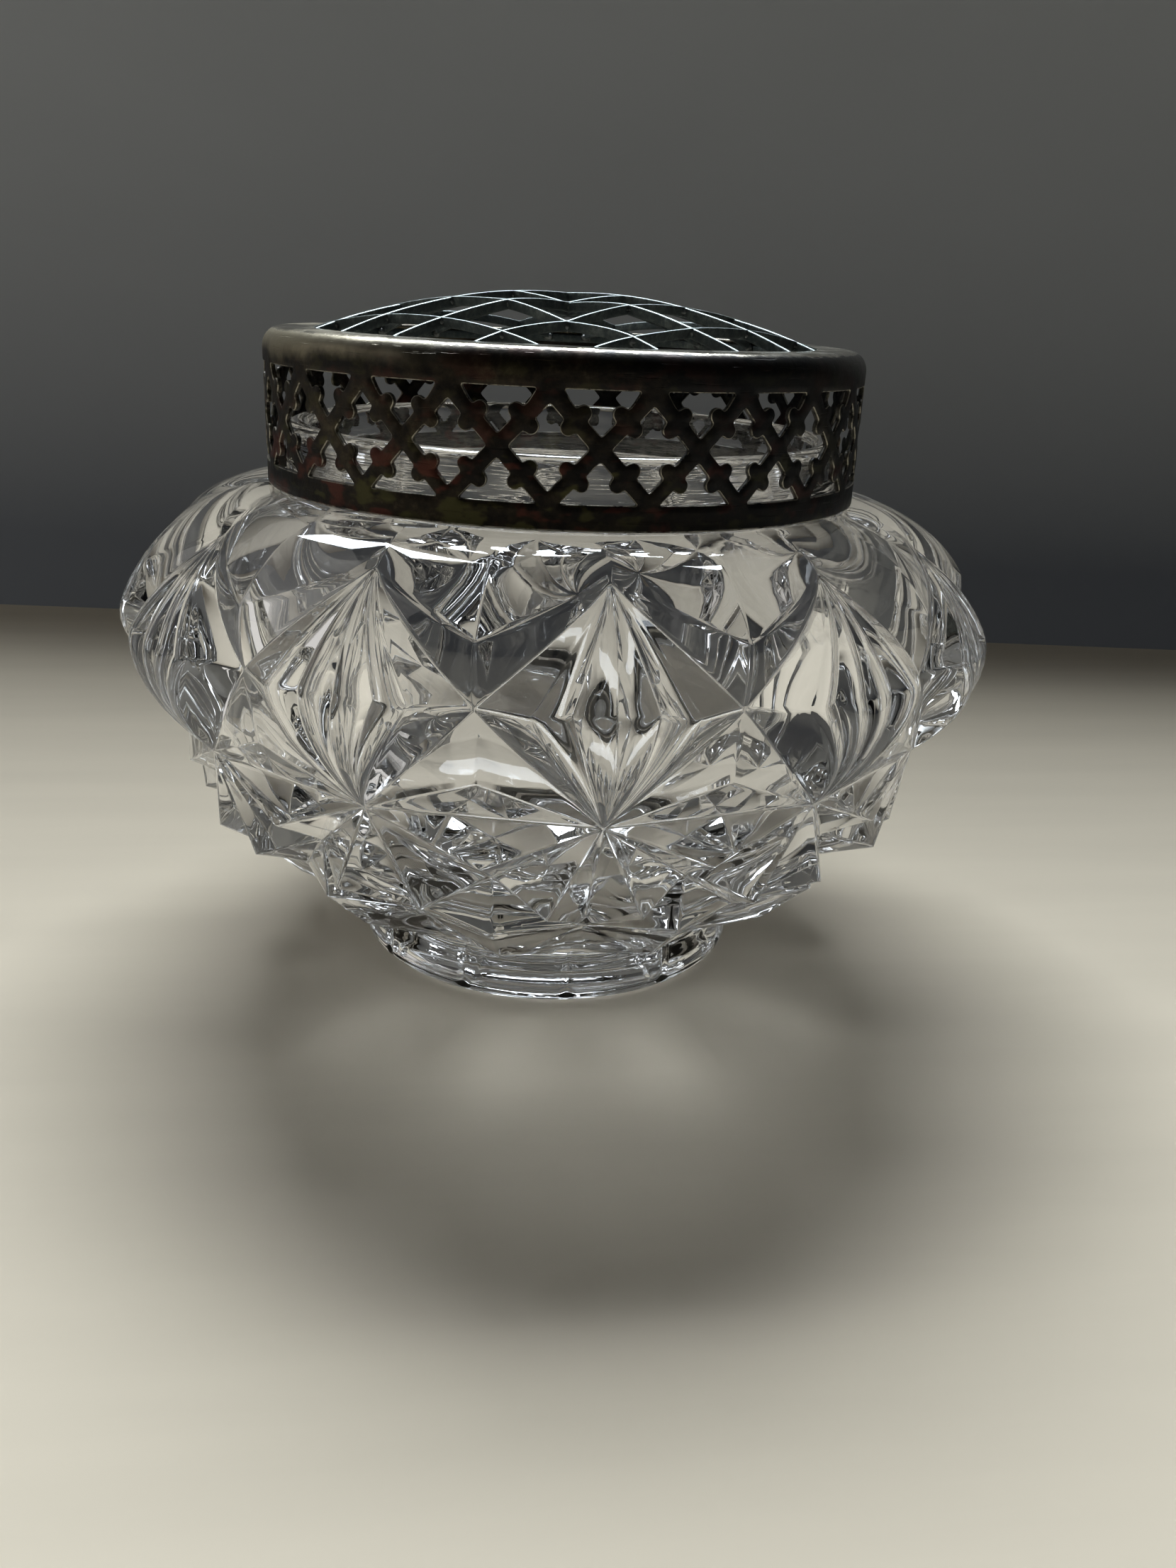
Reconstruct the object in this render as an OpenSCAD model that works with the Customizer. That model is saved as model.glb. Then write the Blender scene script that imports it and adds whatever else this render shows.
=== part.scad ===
// Glass posy bowl with a lift-off pierced collar and a domed lattice for flower stems.
// Millimetres. Z is the bowl's axis, and the foot stands on z = 0.
// Angles round the bowl are measured from -Y towards +X, and one diamond of the glass faces -Y.

/* [Glass bowl] */
// Radius of the belly at its widest
belly_r = 71.6; // [68:0.2:75]
// Height of the widest part of the belly
belly_z = 58.6; // [56:0.2:61]
// Height of the shoulder that the collar stands on
shelf_z = 80.6; // [80.2:0.1:80.9]
// Number of cut diamonds round the bowl
diamonds = 12; // [12]
// Depth of the hollow between the flutes of a diamond
flute_depth = 1.0; // [0:0.1:1.5]
// Facets along each edge of the cut pattern
facet_steps = 2; // [1:1:3]

/* [Neck] */
// Outer radius of the neck
neck_r = 45.5; // [44.5:0.1:46.2]
// Inner radius of the neck
neck_bore_r = 41.5; // [40:0.1:42]
// Height of the rim
rim_z = 90.4; // [88:0.1:92]
// Radius that rounds the rim
rim_round = 1.9; // [1:0.1:1.95]

/* [Foot] */
// Outer radius of the foot
foot_r = 34; // [33.6:0.1:35]
// Height of the foot
foot_h = 7.6; // [7.6]
// Radius of the hollow under the foot
foot_recess_r = 29; // [24:0.5:30]
// Depth of the hollow under the foot
foot_recess_h = 2.4; // [1:0.1:3]

/* [Collar] */
// Outer radius of the collar
collar_r = 48.5; // [48:0.1:48.9]
// Thickness of the silver-plated sheet
sheet = 0.7; // [0.5:0.05:0.9]
// Height of the collar's lower edge
collar_z = 80.85; // [80.8:0.01:81]
// Height of the collar's top face
collar_top_z = 104.4; // [104:0.1:105]
// Outer radius of the rounded top corner
collar_round = 3; // [2:0.1:3.4]
// Radius of the opening in the top face
mouth_r = 40.6; // [40:0.1:41]
// Number of pierced diamonds round the collar
piercings = 22; // [22]
// Angle that the collar is turned to
collar_turn = -0.5; // [-8:0.1:8]

/* [Piercing] */
// Height of the lower edge of the pierced zone
pierce_low_z = 84.5; // [84:0.1:85]
// Height where the bars cross
pierce_mid_z = 91.75; // [91.5:0.05:92]
// Height of the upper edge of the pierced zone
pierce_high_z = 99.3; // [99:0.1:99.6]
// Width of a bar
bar_w = 2.1; // [1.8:0.1:2.3]
// Radius of a round lobe on a bar
lobe_r = 0.92; // [0.8:0.02:1]
// Distance of a lobe's centre from the middle of its bar
lobe_offset = 1.42; // [1.2:0.02:1.5]

/* [Lattice] */
// Radius of the dome that the strips lie on
dome_r = 118; // [110:1:130]
// Height of the top of the dome
dome_top_z = 111.45; // [111:0.05:112]
// Thickness of a strip
strip_t = 0.65; // [0.5:0.05:0.8]
// Depth of a strip
strip_h = 1.4; // [1.2:0.1:1.8]
// Half the width of a cell, across the lattice
cell_half_x = 9.05; // [8.8:0.05:9.2]
// Half the depth of a cell, along the lattice
cell_half_y = 8.75; // [8.5:0.05:9]
// Angle that the lattice is turned to
lattice_turn = -6.5; // [-10:0.5:10]
// Width of the edge ring under the collar's top face
ring_w = 2; // [1.5:0.1:3]
// Height of the edge ring
ring_h = 1.5; // [1.2:0.1:2]

/* [Hidden] */
$fn = 96;
over = 1; // how far a cutter passes the face that it cuts
sector = 360 / diamonds;
half_sector = sector / 2;

// The belly's smooth outline is two quarter ellipses that meet at its widest height
shoulder_r = 48.5;
shoulder_rise = shelf_z - belly_z;
underbelly_r = 30;
underbelly_drop = 51;
shoulder_bands = 5;
foot_joint_r = 33.1;

// Corners of the cut pattern in one half sector: angle from the diamond's middle, radius, height
top_tip = [0, 59.7, 76.4];
valley = [half_sector, 68, 70];
waist = [half_sector, 67.8, 61.2];
shoulder_point = [8.8, belly_r - 0.1, 61.8];
middle_flute = [0, belly_r - 1, 61.8];
side_flute = [4.6, belly_r - 1.3, 61.8];
star = [0, 63.8, 43.9];
upper_peak = [half_sector, 66, 50.3];
star_link = [half_sector, 61.8, 43.9];
lower_peak = [half_sector, 63.7, 36.9];
low_crossing = [half_sector, 55, 32];
lozenge_peak = [6.5, 61.2, 28.6];
bottom_tip = [0, 49.2, 22];
base_peak = [half_sector, 54.5, 22.5];
base_point = [half_sector, 46.5, 14.8];

// How far the lower end of a fluted diamond swells past the straight line between its corners
flute_swell = 2.8;
// Each facet: three corners, the height of a flute's crown, then the swelling at its second
// and at its third corner's edge
facets = [
    [top_tip, valley, waist, 0, 0, 0],
    [top_tip, waist, shoulder_point, 0, 0, 0],
    [top_tip, shoulder_point, side_flute, flute_depth, 0, 0],
    [top_tip, side_flute, middle_flute, flute_depth, 0, 0],
    [star, middle_flute, side_flute, flute_depth, flute_swell, flute_swell],
    [star, side_flute, shoulder_point, flute_depth, flute_swell, flute_swell],
    [star, shoulder_point, waist, 0, flute_swell, 0],
    [star, waist, upper_peak, 0, 0, 0],
    [star, upper_peak, star_link, 0, 0, 0],
    [star, star_link, lower_peak, 0, 0, 0],
    [star, lower_peak, low_crossing, 0, 0, 0],
    [star, low_crossing, lozenge_peak, 0, 0, 0],
    [star, lozenge_peak, bottom_tip, 0, 0, 0],
    [lozenge_peak, low_crossing, bottom_tip, 0, 0, 0],
    [bottom_tip, low_crossing, base_peak, 0, 0, 0],
    [bottom_tip, base_peak, base_point, 0, 0, 0]
];

// Radius of the smooth outline at height z
function outline_r(z) = z > belly_z
    ? shoulder_r + (belly_r - shoulder_r) * sqrt(max(0, 1 - pow((z - belly_z) / shoulder_rise, 2)))
    : underbelly_r + (belly_r - underbelly_r) * sqrt(max(0, 1 - pow((belly_z - z) / underbelly_drop, 2)));
// Share of the outline's curve that a facet at height z follows: all above the waist, none low down
function roundness(z) = min(1, max(0, (z - star[2]) / (waist[2] - star[2])));
function snap(v) = [for (c = v) round(c * 10000) / 10000];
function on_bowl(p) = [p[1] * sin(p[0]), -p[1] * cos(p[0]), p[2]];
function at_angle(p, turn, side) = [turn + side * p[0], p[1], p[2]];

// Point of a facet from the weights of its corners b and c
function facet_point(f, turn, side, wb, wc) =
    let (
        a = at_angle(f[0], turn, side), b = at_angle(f[1], turn, side), c = at_angle(f[2], turn, side),
        wa = 1 - wb - wc,
        flat = wa * on_bowl(a) + wb * on_bowl(b) + wc * on_bowl(c),
        flat_r = norm([flat[0], flat[1]]),
        below = wa * (a[1] - outline_r(a[2])) + wb * (b[1] - outline_r(b[2]))
            + wc * (c[1] - outline_r(c[2])),
        k = roundness(flat[2]),
        across = wb + wc,
        crown = across > 0 ? f[3] * 4 * wb * wc / across : 0,
        swell = across > 0 ? (f[4] * wb + f[5] * wc) / across * 4 * wa * across : 0,
        r = (1 - k) * flat_r + k * (outline_r(flat[2]) + below) + crown + swell
    )
    snap([flat[0] * r / flat_r, flat[1] * r / flat_r, flat[2]]);

// Triangles of one facet, cut into n by n
function facet_mesh(f, turn, side, n) = [
    for (i = [0 : n - 1], j = [0 : n - 1 - i], up = [0, 1])
        if (up == 0 || i + j < n - 1)
            let (
                p = facet_point(f, turn, side, (i + up) / n, (j + up) / n),
                q = facet_point(f, turn, side, (i + 1) / n, j / n),
                s = facet_point(f, turn, side, i / n, (j + 1) / n)
            )
            (up == 0) == (side > 0) ? [p, q, s] : [p, s, q]
];

// Triangles of a closed band between two rings that have the same number of points
function band(low, high) = [
    for (i = [0 : len(low) - 1], up = [0, 1])
        let (k = (i + 1) % len(low))
        up == 0 ? [low[i], high[k], low[k]] : [low[i], high[i], high[k]]
];
// Triangles of a flat cap on a ring
function cap(ring, z, up) = [
    for (i = [0 : len(ring) - 1])
        let (k = (i + 1) % len(ring))
        up ? [[0, 0, z], ring[k], ring[i]] : [[0, 0, z], ring[i], ring[k]]
];
// Ring of points along the zigzag edge of a facet, right round the bowl
function zigzag(f, along_b, n) = [
    for (s = [0 : diamonds - 1], i = [-n : n - 1])
        facet_point(f, s * sector, i < 0 ? -1 : 1, along_b ? abs(i) / n : 0, along_b ? 0 : abs(i) / n)
];
// Ring part of the way, t, from a zigzag to a level circle
function eased_ring(edge, z, r, t) = [
    for (p = edge)
        let (
            edge_r = norm([p[0], p[1]]),
            to_z = p[2] + (z - p[2]) * t,
            to_r = edge_r + (r - edge_r) * t
                + (outline_r(to_z) - outline_r(p[2]) - (outline_r(z) - outline_r(p[2])) * t)
        )
        t == 1 ? snap([p[0] * r / edge_r, p[1] * r / edge_r, z])
            : snap([p[0] * to_r / edge_r, p[1] * to_r / edge_r, to_z])
];

// The cut belly, from the foot to the top of the shoulder, as one closed faceted solid
module cut_belly() {
    n = facet_steps;
    shoulder_edge = zigzag(facets[0], true, n);
    base_edge = zigzag(facets[len(facets) - 1], false, n);
    shoulder_rings = [
        for (i = [0 : shoulder_bands]) eased_ring(shoulder_edge, shelf_z, shoulder_r, sin(90 * i / shoulder_bands))
    ];
    joint = eased_ring(base_edge, foot_h + 0.4, foot_joint_r, 1);
    base_rings = [
        base_edge, eased_ring(base_edge, foot_h + 0.4, foot_joint_r, 0.5), joint,
        [for (p = joint) [p[0], p[1], foot_h - 1.5]]
    ];
    triangles = [
        for (s = [0 : diamonds - 1], side = [-1, 1], f = facets)
            each facet_mesh(f, s * sector, side, n),
        for (i = [0 : shoulder_bands - 1]) each band(shoulder_rings[i], shoulder_rings[i + 1]),
        for (i = [0 : 2]) each band(base_rings[i + 1], base_rings[i]),
        each cap(shoulder_rings[shoulder_bands], shelf_z, true),
        each cap(base_rings[3], foot_h - 1.5, false)
    ];
    polyhedron(
        points = [for (t = triangles) each t],
        faces = [for (i = [0 : len(triangles) - 1]) [3 * i, 3 * i + 1, 3 * i + 2]]
    );
}

// Points of an arc about a centre, for use in a turned outline
function arc(centre, r, from, to, steps) = [
    for (i = [0 : steps]) centre + r * [cos(from + (to - from) * i / steps), sin(from + (to - from) * i / steps)]
];

// Neck with a small fillet at the shelf and a rounded rim, solid to the axis
module neck() {
    rotate_extrude()
        polygon(concat(
            [
                [0, shelf_z - 0.5], [neck_r + 1.1, shelf_z - 0.5], [neck_r + 0.9, shelf_z + 0.1],
                [neck_r + 0.3, shelf_z + 0.5], [neck_r, shelf_z + 1.2]
            ],
            arc([neck_r - rim_round, rim_z - rim_round], rim_round, 0, 90, 6),
            [[0, rim_z]]
        ));
}

// Ring foot with a small bevel at its top and a rounded lower edge
module foot() {
    rotate_extrude()
        polygon([
            [0, 0], [foot_r - 1, 0], [foot_r - 0.3, 0.4], [foot_r, 1.2], [foot_r, 5],
            [foot_r - 0.4, foot_h], [0, foot_h]
        ]);
}

// Hollow inside the bowl: a wide belly on a small flat floor, and a straight bore up to the rim
cavity_r = 60;
cavity_z = 60;
cavity_top_z = 79;
floor_z = 15;
floor_r = 12;
module cavity() {
    steps = 8;
    rotate_extrude()
        polygon(concat(
            [[0, floor_z]],
            [for (i = [0 : steps]) let (a = 90 * i / steps)
                [floor_r + (cavity_r - floor_r) * sin(a), cavity_z - (cavity_z - floor_z) * cos(a)]],
            [for (i = [1 : steps]) let (a = 90 * i / steps)
                [neck_bore_r + (cavity_r - neck_bore_r) * cos(a), cavity_z + (cavity_top_z - cavity_z) * sin(a)]],
            arc([neck_bore_r + rim_round, rim_z - rim_round], rim_round, 180, 90, 6),
            [[neck_bore_r + rim_round, rim_z + over], [0, rim_z + over]]
        ));
}

// Shallow hollow under the foot
module foot_recess() {
    rotate_extrude()
        polygon([
            [0, -over], [foot_recess_r, -over], [foot_recess_r, 0],
            [foot_recess_r - 1.5, foot_recess_h - 0.6], [foot_recess_r - 6, foot_recess_h], [0, foot_recess_h]
        ]);
}

module glass_bowl() {
    color([0.86, 0.9, 0.9, 0.45])
        difference() {
            union() {
                cut_belly();
                neck();
                foot();
            }
            cavity();
            foot_recess();
        }
}

// The pierced pattern is drawn flat, x across and y up from the middle of the crossings
pitch_w = 2 * PI * collar_r / piercings;
apex_y = pierce_high_z - 0.3 - pierce_mid_z;
vee_y = pierce_low_z - pierce_mid_z;
upper_slope = atan2(apex_y, pitch_w / 2);
lower_slope = atan2(-vee_y, pitch_w / 2);
upper_notch = bar_w / 2 / cos(upper_slope);
lower_notch = bar_w / 2 / cos(lower_slope);
side_notch = bar_w / 2 / sin(upper_slope);

// Pair of round lobes at the middle of the bar from one point to another
module lobes(from, to) {
    middle = (from + to) / 2;
    along = (to - from) / norm(to - from);
    across = [-along[1], along[0]];
    for (side = [-1, 1]) translate(middle + side * lobe_offset * across) circle(r = lobe_r, $fn = 24);
}

// Window inside a diamond, centred on it
module diamond_window() {
    difference() {
        polygon([
            [0, apex_y - upper_notch], [pitch_w / 2 - side_notch, 0],
            [0, vee_y + lower_notch], [side_notch - pitch_w / 2, 0]
        ]);
        for (side = [-1, 1]) {
            lobes([0, apex_y], [side * pitch_w / 2, 0]);
            lobes([0, vee_y], [side * pitch_w / 2, 0]);
        }
    }
}

// Windows above and below a crossing, centred on it
module upper_window() {
    top_y = pierce_high_z - pierce_mid_z;
    corner_x = pitch_w / 2 - 1.8;
    bend_y = top_y - 1.7;
    bend_x = (bend_y - upper_notch) / tan(upper_slope);
    difference() {
        polygon([[0, upper_notch], [bend_x, bend_y], [corner_x, top_y], [-corner_x, top_y], [-bend_x, bend_y]]);
        for (side = [-1, 1]) lobes([0, 0], [side * pitch_w / 2, apex_y]);
    }
}
module lower_window() {
    corner_x = (-vee_y - lower_notch) / tan(lower_slope);
    difference() {
        polygon([[0, -lower_notch], [corner_x, vee_y], [-corner_x, vee_y]]);
        for (side = [-1, 1]) lobes([0, 0], [side * pitch_w / 2, vee_y]);
    }
}

// Cutter through the front of the collar, with the flat pattern stood upright
module through_front() {
    translate([0, over - collar_r + sheet, pierce_mid_z])
        rotate([90, 0, 0]) linear_extrude(2 * over + sheet) children();
}

module pierced_collar() {
    bend = [collar_r - collar_round, collar_top_z - collar_round];
    color([0.33, 0.27, 0.22])
        rotate([0, 0, collar_turn])
            difference() {
                rotate_extrude()
                    polygon(concat(
                        [[collar_r - sheet, collar_z], [collar_r, collar_z]],
                        arc(bend, collar_round, 0, 90, 8),
                        [[mouth_r, collar_top_z], [mouth_r, collar_top_z - sheet]],
                        arc(bend, collar_round - sheet, 90, 0, 8)
                    ));
                for (i = [0 : piercings - 1]) rotate([0, 0, i * 360 / piercings]) {
                    through_front() upper_window();
                    through_front() lower_window();
                    rotate([0, 0, 180 / piercings]) through_front() diamond_window();
                }
            }
}

// Ring that the strips' ends are soldered to, close under the collar's top face
module grille_edge_ring() {
    color([0.45, 0.45, 0.42])
        translate([0, 0, collar_top_z - sheet - ring_h])
            difference() {
                cylinder(r = mouth_r + ring_w, h = ring_h);
                translate([0, 0, -over]) cylinder(r = mouth_r, h = ring_h + 2 * over);
            }
}

// A strip's number counts half cells from the middle of the lattice: -5, -3, -1, 1, 3 or 5
strip_counts = [-5, -3, -1, 1, 3, 5];
solder_gap = 0.02;

// Height of the dome's outer face over a point
function dome_z(x, y) = dome_top_z - dome_r + sqrt(dome_r * dome_r - x * x - y * y);

// Upright slab that holds one strip; direction is 1 for the first set, -1 for the second
module strip_slab(count, direction) {
    translate([cell_half_x * count / 2, -direction * cell_half_y * count / 2, dome_top_z - 10])
        rotate([0, 0, direction * atan2(cell_half_y, cell_half_x)])
            cube([3 * mouth_r, strip_t, 20], center = true);
}

// One strip on edge, curved to the dome and halved into those of the other set
module strip(count, direction) {
    color([0.62, 0.66, 0.66])
        rotate([0, 0, lattice_turn])
            difference() {
                intersection() {
                    strip_slab(count, direction);
                    translate([0, 0, dome_top_z - dome_r]) difference() {
                        sphere(r = dome_r);
                        sphere(r = dome_r - strip_h);
                    }
                    translate([0, 0, dome_top_z - 20]) cylinder(r = mouth_r - solder_gap, h = 25);
                }
                for (other = strip_counts)
                    let (
                        x = cell_half_x * (count + other) / 2,
                        y = direction * cell_half_y * (other - count) / 2
                    )
                    if (norm([x, y]) < mouth_r)
                        translate([x, y, dome_z(x, y) - strip_h / 2])
                            rotate([0, 0, -direction * atan2(cell_half_y, cell_half_x)])
                                translate([-3, -strip_t / 2, direction > 0 ? -5 : 0]) cube([6, strip_t, 5]);
            }
}

glass_bowl();
pierced_collar();
grille_edge_ring();
strip(strip_counts[0], 1);  // strip_a1
strip(strip_counts[1], 1);  // strip_a2
strip(strip_counts[2], 1);  // strip_a3
strip(strip_counts[3], 1);  // strip_a4
strip(strip_counts[4], 1);  // strip_a5
strip(strip_counts[5], 1);  // strip_a6
strip(strip_counts[0], -1);  // strip_b1
strip(strip_counts[1], -1);  // strip_b2
strip(strip_counts[2], -1);  // strip_b3
strip(strip_counts[3], -1);  // strip_b4
strip(strip_counts[4], -1);  // strip_b5
strip(strip_counts[5], -1);  // strip_b6
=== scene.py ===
# %% [markdown]
# # A cut-glass posy bowl with a pierced collar and a flower lattice
# The finished thing is a heavy pressed-glass bowl on a small ring foot. A pierced collar of old
# silver plate stands loose on its shoulder, and twelve narrow strips, soldered on edge into a
# dome, hold the flower stems apart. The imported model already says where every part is, so this
# lesson starts by loading it, and then gives each part its real surface: rounded creases in the
# glass, worn edges on the metal, and the small dents and tarnish that years of use leave.

import math
import random

import bmesh
import bpy
from mathutils import Matrix, Vector, geometry, noise


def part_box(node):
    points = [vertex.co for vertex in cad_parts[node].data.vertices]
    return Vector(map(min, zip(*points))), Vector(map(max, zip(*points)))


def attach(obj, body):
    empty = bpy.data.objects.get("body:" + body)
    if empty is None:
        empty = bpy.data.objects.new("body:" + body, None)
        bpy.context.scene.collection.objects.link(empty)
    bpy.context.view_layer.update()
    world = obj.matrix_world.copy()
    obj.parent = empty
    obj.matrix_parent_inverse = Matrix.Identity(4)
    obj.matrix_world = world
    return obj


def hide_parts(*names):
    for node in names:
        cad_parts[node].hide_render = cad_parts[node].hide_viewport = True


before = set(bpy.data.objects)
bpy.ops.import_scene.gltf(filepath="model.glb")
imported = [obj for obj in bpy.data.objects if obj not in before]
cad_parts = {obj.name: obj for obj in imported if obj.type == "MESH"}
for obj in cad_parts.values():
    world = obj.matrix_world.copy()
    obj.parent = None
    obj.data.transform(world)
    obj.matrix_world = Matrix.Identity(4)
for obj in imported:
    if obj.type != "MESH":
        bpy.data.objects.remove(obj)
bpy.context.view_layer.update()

# %% [markdown]
# ## Units and places
# Every object is in metres, but a bowl is easier to think about in millimetres, so shapes are
# worked out in millimetres and scaled once, when their mesh is made. The main heights and radii
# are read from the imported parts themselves.

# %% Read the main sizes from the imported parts
MM = 0.001
collar_low, collar_high = (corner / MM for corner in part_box("pierced_collar"))
ring_low, ring_high = (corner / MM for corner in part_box("grille_edge_ring"))
rim_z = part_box("glass_bowl")[1].z / MM
collar_r = collar_high.x
collar_z = collar_low.z
collar_top_z = collar_high.z
print(f"rim {rim_z:.2f}, collar radius {collar_r:.2f}, from {collar_z:.2f} to {collar_top_z:.2f} mm")

# %% [markdown]
# ## The viewpoint
# The bowl is looked at from a little above its rim and from close by, so its upper half stands
# against the dark wall behind and its lower half against the pale table. `bowl_turn` is how far
# the viewer stands to one side of the diamond that faces -Y. The camera leans a little, as a hand
# would hold it.

# %% Set the camera
bowl_turn = math.radians(-6.482)
turn_bowl = Matrix.Rotation(bowl_turn, 3, "Z")
eye = Vector((0, -0.22329, 0.11062))
look_down = math.radians(20.664)
look_right = math.radians(1.755)
lean = math.radians(2.653)
focal_share = 1820.7 / 2212  # focal length as a share of the frame's long side

ahead = Vector((math.sin(look_right) * math.cos(look_down), math.cos(look_right) * math.cos(look_down),
                -math.sin(look_down)))
level = Vector((math.cos(look_right), -math.sin(look_right), 0))
rightward = math.cos(lean) * level + math.sin(lean) * level.cross(ahead)
upward = rightward.cross(ahead)
camera = bpy.data.objects.new("viewer", bpy.data.cameras.new("viewer"))
bpy.context.scene.collection.objects.link(camera)
facing = Matrix((rightward, upward, -ahead)).transposed()
camera.matrix_world = Matrix.Translation(turn_bowl @ eye) @ (turn_bowl @ facing).to_4x4()
camera.data.lens = focal_share * camera.data.sensor_width
camera.data.clip_start = 0.01
bpy.context.scene.camera = camera
print(f"camera {camera.data.lens:.2f} mm lens, {eye.length * 1000:.0f} mm from the middle of the foot")

# %% [markdown]
# ## Writing finishes as sums
# A finish is a small network of nodes. Drawing it by hand hides the idea, so `Wire` lets a value
# on its way between two nodes be added and multiplied like a number, and `Finish.node` makes any
# other node. A colour never goes through a sum, because that would turn it grey: `Finish.blend`
# mixes colours instead.

# %% A wire that can be used in sums
class Wire:
    """A value that leaves one node's socket."""

    def __init__(self, finish, socket):
        self.finish = finish
        self.socket = socket

    def sum(self, operation, first, second):
        return self.finish.node("ShaderNodeMath", {"operation": operation}, {0: first, 1: second})

    def __add__(self, other):
        return self.sum("ADD", self, other)

    def __sub__(self, other):
        return self.sum("SUBTRACT", self, other)

    def __rsub__(self, other):
        return self.sum("SUBTRACT", other, self)

    def __mul__(self, other):
        return self.sum("MULTIPLY", self, other)

    __radd__ = __add__
    __rmul__ = __mul__

    def out(self, name):
        """Another output of the same node."""
        return Wire(self.finish, self.socket.node.outputs[name])


# %% [markdown]
# Each finish of this object is one `Finish`. What is the same all over goes straight on to the
# shader, and what varies is fed by a wire. Its few methods are named for what they do to a
# surface: grain, step, ramp, blend and bump.

# %% A finish made of wires
class Finish:
    """One material, with its Principled shader at hand."""

    def __init__(self, name, **constants):
        self.material = bpy.data.materials.new(name)
        self.material.use_nodes = True
        self.tree = self.material.node_tree
        self.shader = self.tree.nodes["Principled BSDF"]
        for socket, value in constants.items():
            self.shader.inputs[socket.replace("_", " ")].default_value = value

    def node(self, kind, settings=None, sockets=None):
        """Adds a node: its settings first, then a value or a wire for each socket."""
        made = self.tree.nodes.new(kind)
        for name, value in (settings or {}).items():
            if name == "stops":
                self.set_stops(made.color_ramp, value)
            else:
                setattr(made, name, value)
        for name, value in (sockets or {}).items():
            if isinstance(value, Wire):
                self.tree.links.new(value.socket, made.inputs[name])
            else:
                made.inputs[name].default_value = value
        return Wire(self, made.outputs[0])

    def set_stops(self, ramp, stops):
        while len(ramp.elements) < len(stops):
            ramp.elements.new(1)
        for element, (place, colour) in zip(ramp.elements, stops):
            element.position = place
            element.color = (*colour, 1)

    def blend(self, share, under, over):
        """Mixes two colours; each is a wire or three numbers."""
        colours = [c if isinstance(c, Wire) else (*c, 1) for c in (under, over)]
        mix = self.node("ShaderNodeMix", {"data_type": "RGBA"},
                        {0: share, 6: colours[0], 7: colours[1]})
        return Wire(self, mix.socket.node.outputs[2])

    def place(self):
        """Where a point is on its own piece, in metres."""
        return self.node("ShaderNodeTexCoord").out("Object")

    def grain(self, size, detail=4.0, stretch=(1, 1, 1), lean_to=0.5):
        """Soft noise whose blobs are about size metres across."""
        spread = self.node("ShaderNodeMapping", {}, {"Vector": self.place(), "Scale": stretch})
        return self.node("ShaderNodeTexNoise", {}, {"Vector": spread, "Scale": 1 / size,
                                                    "Detail": detail, "Roughness": lean_to})

    def step(self, value, low, high):
        """0 below low, 1 above high and smooth between them."""
        return self.node("ShaderNodeMapRange", {"interpolation_type": "SMOOTHSTEP"},
                         {"Value": value, "From Min": low, "From Max": high})

    def ramp(self, value, stops):
        return self.node("ShaderNodeValToRGB", {"stops": stops}, {"Fac": value})

    def feed(self, **wires):
        for socket, wire in wires.items():
            self.tree.links.new(wire.socket, self.shader.inputs[socket.replace("_", " ")])

    def bump(self, height, depth):
        """Tilts the surface's normal by a height wire; depth is in metres."""
        self.feed(Normal=self.node("ShaderNodeBump", {}, {"Height": height, "Distance": depth}))


print("finish helpers ready")

# %% [markdown]
# ## Clear pressed glass
# Pressed glass is clear with a breath of grey-violet, and its surface is never quite true: the
# mould leaves slow waves, and turning marks run round the neck. Transmission with an index of
# 1.52 does the bending of light. Only the roughness and the normal vary, because the colour of
# clear glass is the same everywhere.

# %% Mix the glass
clear_glass = Finish("clear_glass", Base_Color=(0.985, 0.985, 0.992, 1),
                     Transmission_Weight=1.0, IOR=1.52)
mould_waves = clear_glass.grain(0.022, detail=1.0)
pressed_skin = clear_glass.grain(0.0045, detail=2.0)
neck_rings = clear_glass.grain(0.004, detail=2.0, stretch=(0.25, 0.25, 5.0))
glass_height = clear_glass.node("ShaderNodeSeparateXYZ", {}, {"Vector": clear_glass.place()}).out("Z")
on_neck = clear_glass.step(glass_height, 0.079, 0.082)
clear_glass.bump(mould_waves + pressed_skin * 0.035 + neck_rings * on_neck * 0.4, 0.00016)
handling = clear_glass.grain(0.014, detail=5.0, lean_to=0.65)
clear_glass.feed(Roughness=clear_glass.step(handling, 0.56, 0.78) * 0.035 + 0.003)
print("glass nodes:", len(clear_glass.tree.nodes))

# %% [markdown]
# ## Tarnished silver plate
# The collar is thin silver-plated sheet. Its front has gone brown-black, with olive and red
# patches where the plating has thinned, while the rolled rim and the punched edges are rubbed
# back to a warm silver. A `worn` value stored on the mesh marks the edges; the height of a point
# gives the rim. Its colour also holds painted light: a painted champagne sheen on the satin band
# at the left end, and painted shade that darkens the front towards the right.

# %% Mix the tarnished plate
tarnished_plate = Finish("tarnished_silver_plate", Specular_IOR_Level=0.18)
bloom = tarnished_plate.grain(0.012, detail=6.0, lean_to=0.62)
speckle = tarnished_plate.grain(0.0016, detail=5.0, lean_to=0.7)
patches = tarnished_plate.grain(0.006, detail=3.0, stretch=(1, 1, 1.8))
tarnish = tarnished_plate.ramp(bloom * 0.6 + speckle * 0.4, [
    (0.30, (0.004, 0.004, 0.0045)), (0.46, (0.010, 0.0085, 0.0075)),
    (0.56, (0.026, 0.020, 0.0135)), (0.66, (0.066, 0.054, 0.033))])
collar_place = tarnished_plate.node("ShaderNodeSeparateXYZ", {}, {"Vector": tarnished_plate.place()})
collar_height = collar_place.out("Z")
low_down = tarnished_plate.step(collar_height, 0.095, 0.086) * 0.6 + 0.25
red_patches = tarnished_plate.step(patches, 0.53, 0.64) * low_down
olive_patches = tarnished_plate.step(patches, 0.45, 0.36) * low_down
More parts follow.
